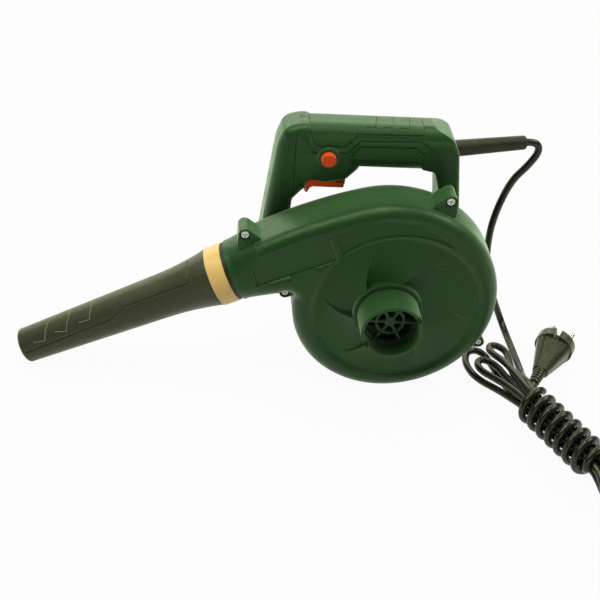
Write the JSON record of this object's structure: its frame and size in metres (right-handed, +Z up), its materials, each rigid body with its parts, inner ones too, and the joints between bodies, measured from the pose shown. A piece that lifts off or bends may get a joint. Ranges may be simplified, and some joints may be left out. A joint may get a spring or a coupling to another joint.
{
  "type": "leaf blower",
  "caption": "Hand-held electric leaf blower: spiral fan casing, slanted tapered nozzle, closed handle with trigger and lock button, and a mains lead tied in a hank.",
  "frame": {"origin": "on the floor under the fan axis, in the casing's seam plane, at the flat that the casing stands on", "axes": "+X away from the nozzle, +Y from the intake back to the motor, +Z up from the floor"},
  "size_m": [0.5163, 0.3058, 0.2329],
  "materials": {
    "casing_green": "satin moulded dark green plastic",
    "nozzle_dark": "satin olive-black plastic",
    "ring_yellow": "satin golden yellow plastic",
    "seal_black": "black rubber",
    "grille_dark": "dark plastic",
    "trigger_red": "orange-red plastic",
    "cord_black": "black flexible PVC",
    "plug_black": "black moulded PVC",
    "screw_zinc": "zinc plated steel",
    "steel": "turned steel",
    "spring_steel": "spring steel wire",
    "lamination": "stacked electrical steel",
    "copper": "copper",
    "carbon": "carbon, matt black",
    "inner_plastic": "black moulded plastic",
    "fan_plastic": "dark grey moulded plastic",
    "pin_nickel": "nickel plated brass"
  },
  "bodies": {
    "frame": {"front_casing": "casing_green", "rear_casing": "casing_green", "casing_screws_large": "screw_zinc", "casing_screws_small": "screw_zinc", "intake_collar": "casing_green", "intake_grille": "grille_dark", "nozzle_seal": "seal_black", "bearing_bracket": "inner_plastic", "front_bearing": "steel", "rear_bearing": "steel", "field_core": "lamination", "field_coils": "copper", "brush_holders": "inner_plastic", "carbon_brushes": "carbon", "motor_housing": "casing_green", "housing_screws": "screw_zinc", "motor_end_cap": "casing_green", "handle_front_shell": "casing_green", "handle_rear_shell": "casing_green", "leg_screws": "screw_zinc", "grip_screws": "screw_zinc", "trigger_pin": "steel", "trigger_spring": "spring_steel", "button_bezel": "casing_green", "lock_spring": "spring_steel", "switch_body": "inner_plastic", "capacitor": "inner_plastic", "cord_clamp": "inner_plastic", "cord_clamp_screws": "screw_zinc", "cord_guard": "seal_black", "lead_tail": "cord_black", "mains_lead": "cord_black", "plug_relief": "plug_black", "plug_body": "plug_black", "plug_pins": "pin_nickel"},
    "rotor": {"impeller": "fan_plastic", "fan_washer": "steel", "fan_nut": "screw_zinc", "motor_shaft": "steel", "armature_core": "lamination", "armature_windings": "copper", "commutator": "copper"},
    "trigger": {"trigger": "trigger_red"},
    "lock": {"lock_button": "trigger_red"},
    "nozzle": {"nozzle": "nozzle_dark", "nozzle_ring": "ring_yellow"}
  },
  "joints": [
    {"name": "rotor_spin", "type": "hinge", "parent": "frame", "child": "rotor", "pos_m": [0, 0, 0.088], "axis": [0, 1, 0], "continuous": true},
    {"name": "trigger_pull", "type": "hinge", "parent": "frame", "child": "trigger", "pos_m": [-0.071, 0.0435, 0.185], "axis": [0, -1, 0], "range_deg": [0, 8], "stiffness_Nm_per_rad": 0.15, "springref_deg": -17.19, "deforming": ["trigger_spring"]},
    {"name": "lock_press", "type": "slide", "parent": "frame", "child": "lock", "axis": [0, 1, 0], "range_m": [0, 0.0035], "stiffness_N_per_m": 150, "springref_m": -0.004, "deforming": ["lock_spring"]},
    {"name": "nozzle_twist", "type": "hinge", "parent": "frame", "child": "nozzle", "pos_m": [-0.03509, 0, 0.15541], "axis": [-0.887, 0, -0.4617], "range_deg": [0, 30]}
  ]
}
